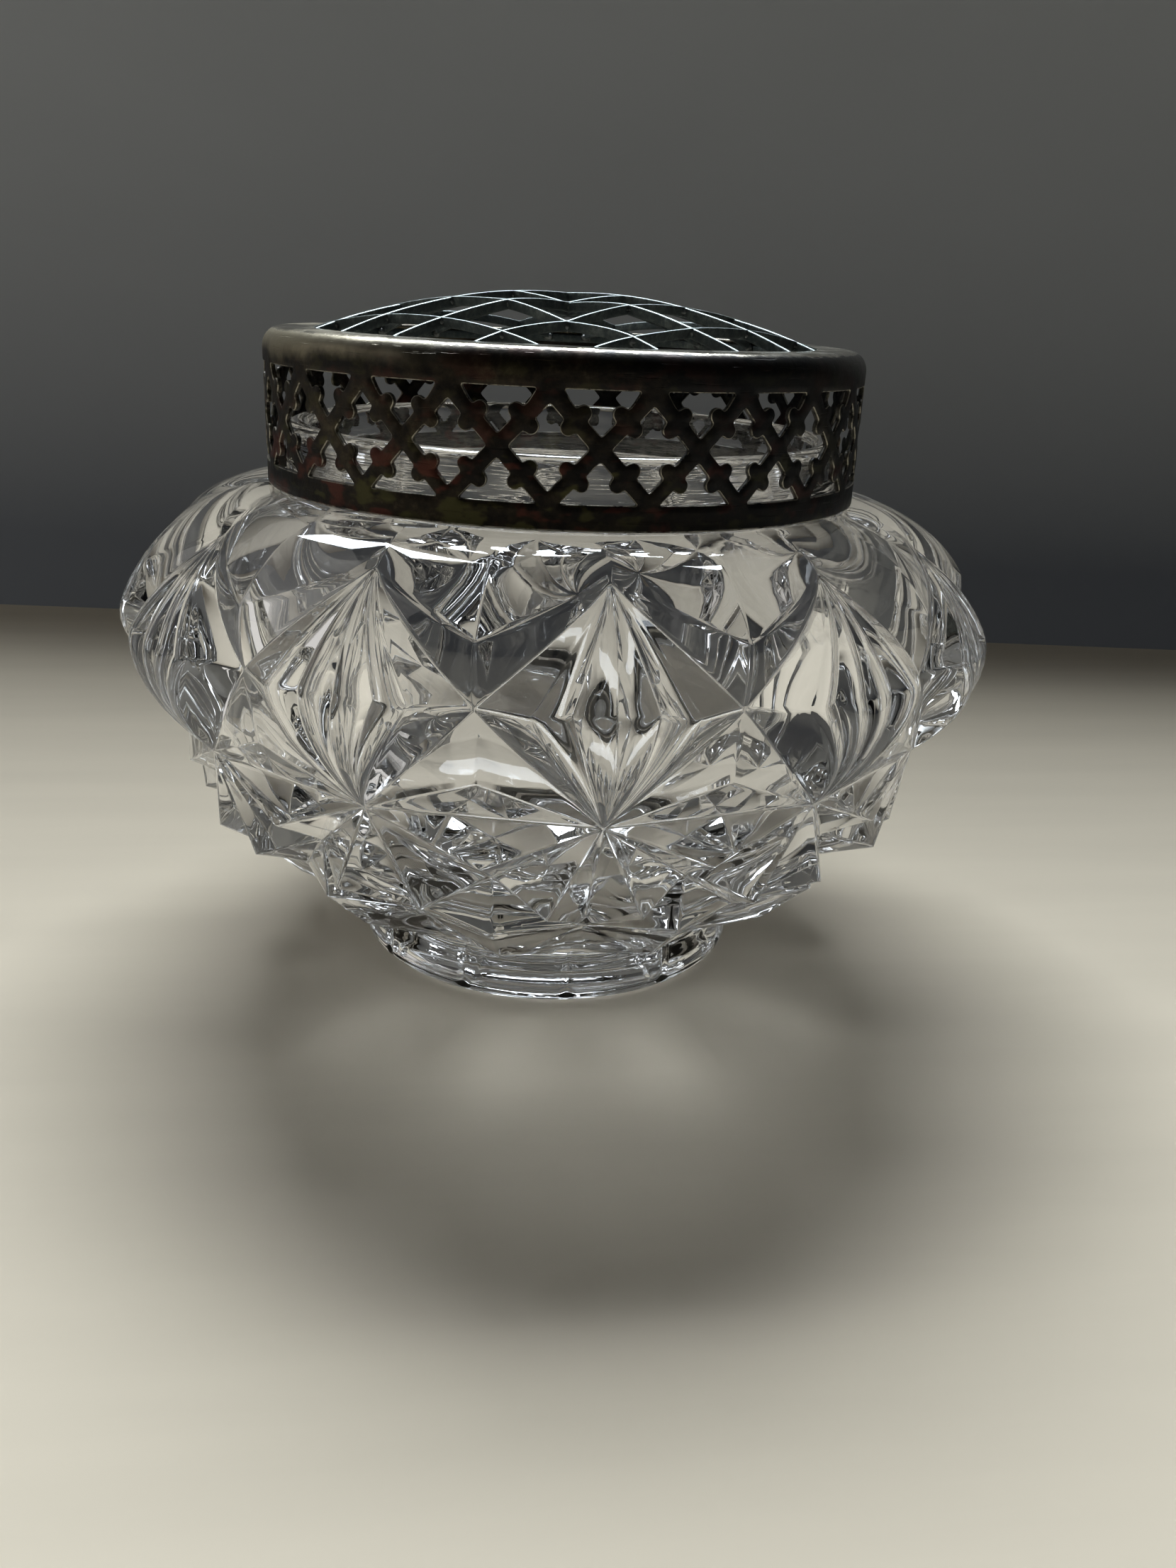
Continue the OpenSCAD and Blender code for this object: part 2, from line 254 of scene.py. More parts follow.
reddened = tarnished_plate.blend(red_patches, tarnish, (0.085, 0.026, 0.018))
greened = tarnished_plate.blend(olive_patches, reddened, (0.062, 0.058, 0.022))
collar_side = collar_place.out("X")
# Painted sheen: the satin band is painted a lighter champagne at the collar's left end, standing in for
# light from the left.
left_painted_sheen = tarnished_plate.step(collar_side + (bloom - 0.5) * 0.02, -0.012, -0.044)
# Painted shade: the front is painted darker and bluer towards the right, standing in for the shade on
# that side.
right_painted_shade = tarnished_plate.step(collar_side + (bloom - 0.5) * 0.03, -0.012, 0.022) * 0.65
tarnish_with_painted_shade = tarnished_plate.blend(right_painted_shade, greened, (0.006, 0.0075, 0.010))
lip_z = collar_top_z * MM
speckled_height = collar_height + (speckle - 0.5) * 0.0012
rubbed_lip = tarnished_plate.step(speckled_height, lip_z - 0.0005, lip_z - 0.0001)
mottled_height = collar_height + (bloom - 0.5) * 0.006
satin_band = tarnished_plate.step(mottled_height, lip_z - 0.0042, lip_z - 0.0012)
worn_edge = tarnished_plate.node("ShaderNodeAttribute", {"attribute_name": "worn"}).out("Fac")
rubbed_edge = worn_edge * tarnished_plate.step(speckle, 0.36, 0.56)
wiping = tarnished_plate.grain(0.0011, detail=3.0, stretch=(0.15, 0.15, 2.6))
fine_scratch = tarnished_plate.step(wiping, 0.63, 0.70)
lip_shine = tarnished_plate.step(bloom, 0.42, 0.56) * 0.6 + 0.35 - fine_scratch * 0.3
rubbed = tarnished_plate.node("ShaderNodeMath", {"operation": "MAXIMUM"},
                              {0: rubbed_lip * lip_shine, 1: rubbed_edge * 0.6})
# The satin band's colour: dark tarnish, lightened to champagne at the left end as a painted sheen.
band_tarnish_with_painted_sheen = tarnished_plate.blend(left_painted_sheen, (0.045, 0.042, 0.034), (0.42, 0.37, 0.26))
banded = tarnished_plate.blend(satin_band * (0.12 + left_painted_sheen * 0.8), tarnish_with_painted_shade, band_tarnish_with_painted_sheen)
warm_silver = tarnished_plate.blend(speckle, (0.42, 0.38, 0.29), (0.66, 0.62, 0.53))
tarnished_plate.feed(Base_Color=tarnished_plate.blend(rubbed, banded, warm_silver),
                     Metallic=rubbed * 0.2 + satin_band * 0.2 + 0.6,
                     Roughness=0.44 - rubbed * 0.22 - satin_band * 0.12 + (speckle - 0.5) * 0.25)
tarnished_plate.bump(speckle * 0.5 + bloom * 0.5 - fine_scratch * 0.2, 0.00012)
print("plate nodes:", len(tarnished_plate.tree.nodes))

# %% [markdown]
# ## Lattice metal and solder
# The strips are the same age but were never polished on their sides: those are granular and
# nearly black, with a green-blue cast, while the top edges shine where hands and stems have
# rubbed them. The solder is duller and greyer than either.

# %% Mix the strips' metal and the solder
lattice_metal = Finish("lattice_metal")
crust = lattice_metal.grain(0.0012, detail=6.0, lean_to=0.75)
cast = lattice_metal.grain(0.009, detail=3.0)
side_colour = lattice_metal.ramp(crust * 0.6 + cast * 0.4, [
    (0.34, (0.035, 0.046, 0.048)), (0.52, (0.10, 0.122, 0.122)), (0.68, (0.26, 0.29, 0.27))])
top_worn = lattice_metal.node("ShaderNodeAttribute", {"attribute_name": "worn"}).out("Fac")
top_rubbed = lattice_metal.step(top_worn + (crust - 0.5) * 0.5, 0.42, 0.74)
lattice_metal.feed(Base_Color=lattice_metal.blend(top_rubbed, side_colour, (0.40, 0.455, 0.445)),
                   Metallic=top_rubbed * 0.35 + 0.55,
                   Roughness=0.55 - top_rubbed * 0.2 + (crust - 0.5) * 0.3)
lattice_metal.bump(crust, 0.0002)

solder = Finish("grey_solder", Metallic=0.9)
lumps = solder.grain(0.0009, detail=4.0)
solder.feed(Base_Color=solder.ramp(lumps, [(0.35, (0.05, 0.055, 0.055)), (0.7, (0.36, 0.38, 0.37))]),
            Roughness=lumps * 0.4 + 0.25)
solder.bump(lumps, 0.0002)
print("lattice and solder finishes ready")

# %% [markdown]
# ## One skin of points for each piece
# Most of this object is cut from repeated patches that share their edges. `Skin` keeps a point
# that two patches share only once, so the patches join into one closed surface without a
# separate welding step.

# %% Collect points and faces
class Skin:
    """Points, in millimetres, and faces of one piece."""

    def __init__(self):
        self.points = []
        self.faces = []
        self.worn = []
        self.known = {}

    def point(self, place):
        key = tuple(round(c, 4) + 0.0 for c in place)
        if key not in self.known:
            self.known[key] = len(self.points)
            self.points.append(key)
        return self.known[key]

    def face(self, *places, worn=0.0):
        loop = list(dict.fromkeys(self.point(p) for p in places))
        if len(loop) > 2:
            self.faces.append(loop)
            self.worn.append(worn)

    def band(self, low, high, worn=0.0):
        """Faces between two closed rings of as many points."""
        for i in range(len(low)):
            k = (i + 1) % len(low)
            self.face(low[i], low[k], high[k], high[i], worn=worn)

    def cap(self, ring, centre):
        for i in range(len(ring)):
            self.face(ring[i], ring[(i + 1) % len(ring)], centre)


def make_piece(name, skin, finish, body, nodes=()):
    """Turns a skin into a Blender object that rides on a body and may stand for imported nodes."""
    mesh = bpy.data.meshes.new(name)
    mesh.from_pydata([[c * MM for c in p] for p in skin.points], [], skin.faces)
    mesh.attributes.new("worn", "FLOAT", "FACE").data.foreach_set("value", skin.worn)
    shell = bmesh.new()
    shell.from_mesh(mesh)
    bmesh.ops.recalc_face_normals(shell, faces=shell.faces)
    open_edges = sum(1 for edge in shell.edges if len(edge.link_faces) != 2)
    shell.to_mesh(mesh)
    shell.free()
    mesh.shade_smooth()
    mesh.materials.append(finish.material)
    piece = bpy.data.objects.new(name, mesh)
    bpy.context.scene.collection.objects.link(piece)
    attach(piece, body)
    if nodes:
        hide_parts(*nodes)
    print(f"{name}: {len(mesh.vertices)} points, {len(mesh.polygons)} faces, {open_edges} open edges")


def turned(place, angle, side=1):
    """A point mirrored left to right if side is -1, then turned about the bowl's axis."""
    x, y, z = place[0] * side, place[1], place[2]
    return (x * math.cos(angle) - y * math.sin(angle), x * math.sin(angle) + y * math.cos(angle), z)


# %% [markdown]
# ## The cut pattern of the glass
# Twelve tall diamonds go round the belly. Each is fluted from its tip to its middle and swells
# out again below, then a star, a lozenge and a fan of small cuts lead down to the foot. Only half
# of one diamond has to be described: the corner points below are angle, radius and height, and
# mirroring and turning them does the rest.

# %% Corners of half a diamond
diamonds = 12
half_sector = 180 / diamonds
belly_r = 71.6
belly_z = 58.6

top_tip = (0, 59.7, 76.4)
valley = (half_sector, 68, 70)
waist = (half_sector, 67.8, 61.2)
shoulder_point = (8.8, belly_r - 0.1, 61.8)
middle_flute = (0, belly_r - 1, 61.8)
side_flute = (4.6, belly_r - 1.3, 61.8)
star = (0, 63.8, 43.9)
upper_peak = (half_sector, 66, 50.3)
star_link = (half_sector, 61.8, 43.9)
lower_peak = (half_sector, 63.7, 36.9)
low_crossing = (half_sector, 55, 32)
lozenge_peak = (6.5, 61.2, 28.6)
bottom_tip = (0, 49.2, 22)
base_peak = (half_sector, 54.5, 22.5)
base_point = (half_sector, 46.5, 14.8)
fan_middle = (0, 32.9, 8.2)
fan_side = (4.2, 34.6, 9.4)
foot_joint = (half_sector, 33.1, 8.2)

# %% [markdown]
# A facet is three corners, the height of a flute's crown across it, and how far its lower end
# swells at the second and third corner. The crown and the swelling turn a flat cut into a flute.

# %% The facets of half a diamond
flute_depth = 1.4
flute_swell = 2.8
facets = [
    (top_tip, valley, waist, 0, 0, 0),
    (top_tip, waist, shoulder_point, 0, 0, 0),
    (top_tip, shoulder_point, side_flute, flute_depth, 0, 0),
    (top_tip, side_flute, middle_flute, flute_depth, 0, 0),
    (star, middle_flute, side_flute, flute_depth, flute_swell, flute_swell),
    (star, side_flute, shoulder_point, flute_depth, flute_swell, flute_swell),
    (star, shoulder_point, waist, 0, flute_swell, 0),
    (star, waist, upper_peak, 0, 0, 0),
    (star, upper_peak, star_link, 0, 0, 0),
    (star, star_link, lower_peak, 0, 0, 0),
    (star, lower_peak, low_crossing, 0, 0, 0),
    (star, low_crossing, lozenge_peak, 0, 0, 0),
    (star, lozenge_peak, bottom_tip, 0, 0, 0),
    (lozenge_peak, low_crossing, bottom_tip, 0, 0, 0),
    (bottom_tip, low_crossing, base_peak, 0, 0, 0),
    (bottom_tip, base_peak, base_point, 0, 0, 0),
    (bottom_tip, base_point, fan_side, 0, 0, 0),
    (bottom_tip, fan_side, fan_middle, 0, 0, 0),
    (base_point, foot_joint, fan_side, 0, 0, 0),
]
print("facets round the bowl:", len(facets) * 2 * diamonds)

# %% [markdown]
# The belly's smooth outline, two quarter ellipses, bends the facets: not at all up to the stars,
# more and more from there to the waist, and fully above it. So the upper diamonds lie on a round
# shoulder while the lowest cuts stay flat. The rows of points crowd towards a facet's edges,
# because that is where the creases have to be rounded.

# %% Place one point of a facet
shelf_z = 80.6
shoulder_r = 48.5
shoulder_rise = shelf_z - belly_z
underbelly_r = 30
underbelly_drop = 51
facet_rows = 12
crowding = 1.6


def outline_r(z):
    if z > belly_z:
        share = (z - belly_z) / shoulder_rise
        return shoulder_r + (belly_r - shoulder_r) * math.sqrt(max(0, 1 - share * share))
    share = (belly_z - z) / underbelly_drop
    return underbelly_r + (belly_r - underbelly_r) * math.sqrt(max(0, 1 - share * share))


def on_bowl(corner):
    angle = math.radians(corner[0])
    return (corner[1] * math.sin(angle), -corner[1] * math.cos(angle), corner[2])


def facet_point(facet, weights):
    corners = facet[:3]
    crown, swell_b, swell_c = facet[3:]
    raised = [w ** crowding for w in weights]
    wa, wb, wc = (w / sum(raised) for w in raised)
    a, b, c = (on_bowl(corner) for corner in corners)
    flat = [wa * a[k] + wb * b[k] + wc * c[k] for k in range(3)]
    flat_r = math.hypot(flat[0], flat[1])
    below = sum(w * (corner[1] - outline_r(corner[2])) for w, corner in zip((wa, wb, wc), corners))
    round_share = min(1, max(0, (flat[2] - star[2]) / (waist[2] - star[2])))
    across = wb + wc
    rise = 0
    if across > 0:
        rise = crown * 4 * wb * wc / across + (swell_b * wb + swell_c * wc) / across * 4 * wa * across
    r = (1 - round_share) * flat_r + round_share * (outline_r(flat[2]) + below) + rise
    return (flat[0] * r / flat_r, flat[1] * r / flat_r, flat[2])


# %% [markdown]
# Half a diamond is cut into small triangles once, and then copied round the bowl by mirroring
# and turning. Points on a facet's edges lie on creases, so they are remembered for rounding.

# %% Cut half a diamond into small triangles, and note which points lie on creases
def facet_triangles(facet):
    rows = facet_rows
    grid = {(i, j): facet_point(facet, ((rows - i - j) / rows, i / rows, j / rows))
            for i in range(rows + 1) for j in range(rows + 1 - i)}
    triangles = []
    for i in range(rows):
        for j in range(rows - i):
            triangles.append((grid[i, j], grid[i + 1, j], grid[i, j + 1]))
            if i + j < rows - 1:
                triangles.append((grid[i + 1, j], grid[i + 1, j + 1], grid[i, j + 1]))
    edge = [p for (i, j), p in grid.items() if i == 0 or j == 0 or i + j == rows]
    return triangles, edge


half_diamond = [facet_triangles(facet) for facet in facets]
sector_turns = [math.tau * s / diamonds for s in range(diamonds)]
bowl_skin = Skin()
creases = set()
for sector_turn in sector_turns:
    for side in (1, -1):
        for triangles, edge in half_diamond:
            for triangle in triangles:
                bowl_skin.face(*(turned(p, sector_turn, side) for p in triangle))
            creases.update(bowl_skin.point(turned(p, sector_turn, side)) for p in edge)
print("cut belly:", len(bowl_skin.faces), "triangles,", len(creases), "points on creases")

# %% [markdown]
# ## Shoulder, neck, hollow and foot
# Above the diamonds the shoulder is smooth: its rings start on the zigzag of the diamonds' tips
# and ease into a level circle. From there the same columns of points run up the neck, over the
# rounded rim and down the inside, which makes one closed skin. Glass needs that: light bends
# properly only through a closed wall.

# %% Rings from a zigzag edge to a circle
def zigzag(path):
    """Right round the bowl, the points of a path that runs from a diamond's middle to its side."""
    half = [turned(p, 0) for p in path]
    around = []
    for sector_turn in sector_turns:
        around += [turned(p, sector_turn, -1) for p in reversed(half[1:])]
        around += [turned(p, sector_turn) for p in half[:-1]]
    return around


def facet_edge(facet, start, end):
    """Points along a facet's edge, from one of its corners (0, 1 or 2) to another."""
    edge = []
    for i in range(facet_rows + 1):
        weights = [0, 0, 0]
        weights[start] = 1 - i / facet_rows
        weights[end] = i / facet_rows
        edge.append(facet_point(facet, weights))
    return edge


def eased_ring(edge, z, r, t):
    ring = []
    for x, y, from_z in edge:
        edge_r = math.hypot(x, y)
        to_z = from_z + (z - from_z) * t
        arch = outline_r(to_z) - outline_r(from_z) - (outline_r(z) - outline_r(from_z)) * t
        to_r = edge_r + (r - edge_r) * t + arch
        ring.append((x * to_r / edge_r, y * to_r / edge_r, to_z))
    return ring


def round_ring(columns, r, z):
    """A level circle on the same columns as another ring."""
    return [(x * r / math.hypot(x, y), y * r / math.hypot(x, y), z) for x, y, _ in columns]


def arc(centre_r, centre_z, radius, start, end, count):
    """Radius and height of points on an arc, angles in degrees."""
    angles = [math.radians(start + (end - start) * i / count) for i in range(count + 1)]
    return [(centre_r + radius * math.cos(a), centre_z + radius * math.sin(a)) for a in angles]


# %% [markdown]
# The neck is a plain band with a round rim. The hollow inside is two quarter ellipses with a
# flat floor, and it is smooth: only the outside of the bowl is cut.

# %% Close the glass: shoulder, neck, rim, hollow
neck_r = 45.5
neck_bore_r = 41.5
rim_round = 1.9
cavity_r, cavity_z, cavity_top_z = 60, 60, 79
floor_r, floor_z = 12, 15
shoulder_rings = 16

tips = zigzag(facet_edge(facets[0], 0, 1))
rings = [tips]
for i in range(1, shoulder_rings + 1):
    eased = math.sin(math.pi / 2 * (i / shoulder_rings) ** 1.5)
    rings.append(eased_ring(tips, shelf_z, shoulder_r, eased))
neck_outline = [(neck_r + 1.3, shelf_z + 0.02), (neck_r + 0.6, shelf_z + 0.2),
                (neck_r + 0.2, shelf_z + 0.6), (neck_r, shelf_z + 1.3), (neck_r, 84), (neck_r, 86.5)]
neck_outline += arc(neck_r - rim_round, rim_z - rim_round, rim_round, 0, 90, 7)
neck_outline += arc(neck_bore_r + rim_round, rim_z - rim_round, rim_round, 90, 180, 7)
neck_outline += [(neck_bore_r, 84), (neck_bore_r, 81)]
hollow_steps = 18
for i in range(hollow_steps + 1):
    a = math.pi / 2 * (1 - i / hollow_steps)
    neck_outline.append((neck_bore_r + (cavity_r - neck_bore_r) * math.cos(a),
                         cavity_z + (cavity_top_z - cavity_z) * math.sin(a)))
for i in range(1, hollow_steps + 1):
    a = math.pi / 2 * (1 - i / hollow_steps)
    neck_outline.append((floor_r + (cavity_r - floor_r) * math.sin(a),
                         cavity_z - (cavity_z - floor_z) * math.cos(a)))
neck_outline += [(8, floor_z), (4, floor_z)]
rings += [round_ring(tips, r, z) for r, z in neck_outline]
for low, high in zip(rings, rings[1:]):
    bowl_skin.band(low, high)
bowl_skin.cap(rings[-1], (0, 0, floor_z))
print("shoulder to hollow:", len(rings), "rings")

# %% [markdown]
# The foot is a plain ring with a soft edge. The mould left a short upright nick in it under the
# middle of each diamond, which shows as a dark tick with a bright bead below it.

# %% Close the glass: foot and the hollow under it
foot_r = 34
nick_depth = 0.3
nick_half_angle = math.radians(1.3)
nick_low_z, nick_high_z = 1.2, 7.95
fan_facet, joint_facet = facets[-2:]
foot_edge = zigzag(facet_edge(fan_facet, 2, 1) + facet_edge(joint_facet, 2, 1)[1:])
hollow_top_z = 2.4
foot_outline = [(foot_r - 0.7, 7.9), (foot_r - 0.35, 7.5), (foot_r - 0.1, 6.9), (foot_r, 6),
                (foot_r, 4.6), (foot_r, 3), (foot_r, 1.4), (foot_r - 0.15, 0.75),
                (foot_r - 0.5, 0.22), (foot_r - 1.1, 0), (31.2, 0), (29.3, 0), (28.9, 0.4),
                (27.6, 1.7), (23, hollow_top_z), (12, hollow_top_z), (4, hollow_top_z)]
foot_rings = [foot_edge]
for r, z in foot_outline:
    ring = []
    for x, y, _ in foot_edge:
        angle = math.atan2(x, -y)
        off_middle = (angle + math.pi / diamonds) % (math.tau / diamonds) - math.pi / diamonds
        nick = 0
        if nick_low_z < z < nick_high_z:
            nick = nick_depth * math.exp(-(off_middle / nick_half_angle) ** 2)
        ring.append(((r - nick) * math.sin(angle), -(r - nick) * math.cos(angle), z))
    foot_rings.append(ring)
for low, high in zip(foot_rings, foot_rings[1:]):
    bowl_skin.band(low, high)
bowl_skin.cap(foot_rings[-1], (0, 0, hollow_top_z))
print("foot:", len(foot_rings), "rings of", len(foot_edge), "points")

# %% [markdown]
# Fire-polished creases are not knife edges. Moving each crease point part of the way to the
# middle of its neighbours rounds ridges and grooves a little, which is what makes them carry a
# thin bright line.

# %% Round the creases and make the bowl
crease_softness = 0.55


def soften_creases(skin, marked, share):
    around = {i: set() for i in marked}
    for loop in skin.faces:
        for i, k in zip(loop, loop[1:] + loop[:1]):
            if i in around:
                around[i].add(k)
            if k in around:
                around[k].add(i)
    moved = {}
    for i, neighbours in around.items():
        middle = [sum(skin.points[k][c] for k in neighbours) / len(neighbours) for c in range(3)]
        moved[i] = tuple(p + share * (m - p) for p, m in zip(skin.points[i], middle))
    for i, place in moved.items():
        skin.points[i] = place


soften_creases(bowl_skin, creases, crease_softness)
make_piece("cut_glass_bowl", bowl_skin, clear_glass, "bowl", ["glass_bowl"])

# %% [markdown]
# ## The pierced collar
# The collar was punched flat and bent round. Crossed bars leave three kinds of window, and each
# bar carries a pair of round lobes at its middle. Every window is the same left and right, so
# only its right half is drawn: straight runs along the bars, an arc round each lobe, and then
# all corners softened a little, as a worn punch leaves them.

# %% Draw the right half of a window
piercings = 22
sheet = 0.7
pierce_low_z, pierce_mid_z, pierce_high_z = 84.5, 91.75, 99.3
bar_w = 2.2
lobe_r = 1.12
lobe_offset = 1.4
pitch_w = math.tau * collar_r / piercings
apex_y = pierce_high_z - 0.3 - pierce_mid_z
vee_y = pierce_low_z - pierce_mid_z
upper_slope = math.atan2(apex_y, pitch_w / 2)
lower_slope = math.atan2(-vee_y, pitch_w / 2)
upper_notch = bar_w / 2 / math.cos(upper_slope)
lower_notch = bar_w / 2 / math.cos(lower_slope)
side_notch = bar_w / 2 / math.sin(upper_slope)
outline_step = 0.33


def round_lobe(start, end, bar_middle):
    """Arc round a bar's lobe, on the bar's edge from start to end, with the window on its right."""
    length = math.dist(start, end)
    along = ((end[0] - start[0]) / length, (end[1] - start[1]) / length)
    inward = (along[1], -along[0])
    centre = [m + lobe_offset * n for m, n in zip(bar_middle, inward)]
    lead = math.asin((lobe_offset - bar_w / 2) / lobe_r)
    turns = [(math.pi / 2 + lead) * (k / 6 - 1) for k in range(13)]
    return [[c + lobe_r * (math.sin(t) * a + math.cos(t) * n) for c, a, n in zip(centre, along, inward)]
            for t in turns]


def softened(path):
    """The path in even steps, with its corners rounded; both ends stay on the window's middle line."""
    lengths = [math.dist(p, q) for p, q in zip(path, path[1:])]
    count = round(sum(lengths) / outline_step)
    even = []
    for i in range(count + 1):
        left = sum(lengths) * i / count
        k = 0
        while k < len(lengths) - 1 and left > lengths[k]:
            left -= lengths[k]
            k += 1
        share = min(1, left / lengths[k])
        even.append([p + (q - p) * share for p, q in zip(path[k], path[k + 1])])
    before = [[-even[1][0], even[1][1]], *even[:-1]]
    after = [*even[1:], [-even[-2][0], even[-2][1]]]
    return [[(a + 2 * b + c) / 4 for a, b, c in zip(*three)] for three in zip(before, even, after)]


def window_half(runs):
    """Right half of a window, top to bottom, from runs of (start, end, middle of the bar or None)."""
    path = [runs[0][0]]
    for start, end, bar_middle in runs:
        if bar_middle:
            path += round_lobe(start, end, bar_middle)
        path.append(end)
    return softened(path)


# %% [markdown]
# The windows meet along the crossed bars, so their corners follow from the height of each row,
# the width of a repeat and the width of a bar.

# %% The three windows
top_y = pierce_high_z - pierce_mid_z
bend_y = top_y - 1.7
bend_x = (bend_y - upper_notch) / math.tan(upper_slope)
upper_corner_x = pitch_w / 2 - 1.8
lower_corner_x = (-vee_y - lower_notch) / math.tan(lower_slope)
upper_bar = (pitch_w / 4, apex_y / 2)
lower_bar = (pitch_w / 4, vee_y / 2)
window_side = (pitch_w / 2 - side_notch, 0)
diamond_half = window_half([((0, apex_y - upper_notch), window_side, upper_bar),
                            (window_side, (0, vee_y + lower_notch), lower_bar)])
upper_half = window_half([((0, top_y), (upper_corner_x, top_y), None),
                          ((upper_corner_x, top_y), (bend_x, bend_y), None),
                          ((bend_x, bend_y), (0, upper_notch), upper_bar)])
lower_half = window_half([((0, -lower_notch), (lower_corner_x, vee_y), lower_bar),
                          ((lower_corner_x, vee_y), (0, vee_y), None)])
print("points in half windows:", len(diamond_half), len(upper_half), len(lower_half))

# %% [markdown]
# One repeat of the collar is a flat sheet with two whole windows and a half window at each side.
# A Delaunay fill covers it with triangles, once for the front and once for the back. The front's
# windows are a little larger all round, and the narrow slope between the two outlines is the
# rubbed edge that catches the light.

# %% Fill one repeat of the pierced sheet
edge_wear = 0.13
border_count = 14
low_y = collar_z + 0.25 - pierce_mid_z
corner_round = 3.0
high_y = collar_top_z - corner_round - pierce_mid_z
fill_step = 1.15


def grown(half, amount):
    """A half window, made larger all round by amount."""
    wide = []
    for i, (x, y) in enumerate(half):
        if i in (0, len(half) - 1):
            wide.append((x, y + (amount if i == 0 else -amount)))
            continue
        dx, dy = half[i + 1][0] - half[i - 1][0], half[i + 1][1] - half[i - 1][1]
        length = math.hypot(dx, dy)
        wide.append((x - dy / length * amount, y + dx / length * amount))
    return wide


def whole_window(half):
    return [tuple(p) for p in half] + [(-x, y) for x, y in half[-2:0:-1]]


def even_run(start, end, count):
    return [start + (end - start) * i / count for i in range(count + 1)]


def cell_outline(side_half):
    """Outline of one repeat, with half a window let into each side."""
    half_w = pitch_w / 2
    under = even_run(low_y, side_half[-1][1], 5)[1:-1]
    over = even_run(side_half[0][1], high_y, 4)[1:-1]
    border = even_run(-half_w, half_w, border_count)
    right = [(half_w, y) for y in under] + [(half_w - x, y) for x, y in reversed(side_half)]
    right += [(half_w, y) for y in over]
    left = [(-x, y) for x, y in reversed(right)]
    return [(x, low_y) for x in border] + right + [(x, high_y) for x in reversed(border)] + left


def inside(x, y, loop):
    crossings = 0
    for (x1, y1), (x2, y2) in zip(loop, loop[1:] + loop[:1]):
        if (y1 > y) != (y2 > y) and x < x1 + (y - y1) / (y2 - y1) * (x2 - x1):
            crossings += 1
    return crossings % 2 == 1


def fill_cell(outer, holes):
    """Triangles of the sheet between an outline and its holes."""
    loops = [outer, *holes]
    corners = [p for loop in loops for p in loop]
    edges = []
    for loop in loops:
        first = len(edges)
        edges += [(first + i, first + (i + 1) % len(loop)) for i in range(len(loop))]
    rows = round((high_y - low_y) / fill_step)
    for j in range(1, rows):
        y = low_y + (high_y - low_y) * j / rows
        for x in even_run(-pitch_w / 2, pitch_w / 2, border_count)[1:-1]:
            if metal_at(x, y, loops) and min(math.dist((x, y), p) for p in corners) > 0.45:
                corners.append((x, y))
    found = geometry.delaunay_2d_cdt([Vector(p) for p in corners], edges, [], 0, 1e-6)
    triangles = []
    for triangle in found[2]:
        places = [corners[found[3][i][0]] for i in triangle]
        if metal_at(sum(p[0] for p in places) / 3, sum(p[1] for p in places) / 3, loops):
            triangles.append(places)
    return triangles


def metal_at(x, y, loops):
    return inside(x, y, loops[0]) and not any(inside(x, y, hole) for hole in loops[1:])


front_halves = [grown(half, edge_wear) for half in (diamond_half, upper_half, lower_half)]
back_halves = [diamond_half, upper_half, lower_half]
front_cell, back_cell = (fill_cell(cell_outline(d), [whole_window(u), whole_window(l)])
                         for d, u, l in (front_halves, back_halves))
print("triangles in one repeat:", len(front_cell), "in front,", len(back_cell), "behind")

# %% [markdown]
# The flat repeat is wrapped round the cylinder twenty-two times. Handling has left the collar a
# little out of true, so a slow noise moves each point by up to about a tenth of a millimetre, with
# a few sharper knocks on the rim. The same turned columns carry on over the rounded corner, across
# the narrow top face, round its lip and back down inside.

# %% Wrap the collar
collar_turn = math.radians(-0.5)
mouth_r = 40.6
rim_knocks = [(-38, 102.9, 0.35, 2.6), (-29, 103.6, 0.3, 1.8), (21, 103.4, 0.22, 2.2),
              (96, 103.0, 0.3, 3.0), (171, 103.2, 0.35, 2.4), (-121, 103.5, 0.28, 2.8)]


def out_of_true(r, angle, z):
    slow = noise.noise(Vector((3 * math.sin(angle), 3 * math.cos(angle), z * 0.05)))
    bend = noise.noise(Vector((9 * math.sin(angle), 9 * math.cos(angle), 5 + z * 0.12)))
    rim_share = max(0, (z - 96) / 8)
    r += 0.11 * slow + 0.05 * bend * rim_share
    for knock_angle, knock_z, depth, width in rim_knocks:
        away = math.hypot((angle - math.radians(knock_angle)) * collar_r, z - knock_z) / width
        r -= depth * math.exp(-away * away)
    return r


def on_collar(x, y, depth, repeat):
    angle = collar_turn + repeat * math.tau / piercings + x / collar_r
    r = out_of_true(collar_r - depth, (angle + math.pi) % math.tau - math.pi, pierce_mid_z + y)
    return (r * math.sin(angle), -r * math.cos(angle), pierce_mid_z + y)


def wrap_repeat(skin, repeat):
    for cell, depth in ((front_cell, 0), (back_cell, sheet)):
        for triangle in cell:
            skin.face(*(on_collar(x, y, depth, repeat) for x, y in triangle))
    for kind, (front, back) in enumerate(zip(front_halves, back_halves)):
        middle = pitch_w / 2 if kind == 0 else 0
        for side in (1, -1):
            shift = -side * middle
            for (f1, f2), (b1, b2) in zip(zip(front, front[1:]), zip(back, back[1:])):
                slope = [on_collar(shift + side * x, y, d, repeat)
                         for (x, y), d in ((f1, 0), (f2, 0), (b2, edge_wear), (b1, edge_wear))]
                wall = [on_collar(shift + side * x, y, sheet, repeat) for x, y in (b2, b1)]
                skin.face(*slope, worn=1.0)
                skin.face(slope[3], slope[2], *wall, worn=0.25)


def collar_ring(r, z):
    ring = []
    for k in range(piercings * border_count):
        x = pitch_w * (k % border_count / border_count - 0.5)
        ring.append(on_collar(x, z - pierce_mid_z, collar_r - r, k // border_count))
    return ring


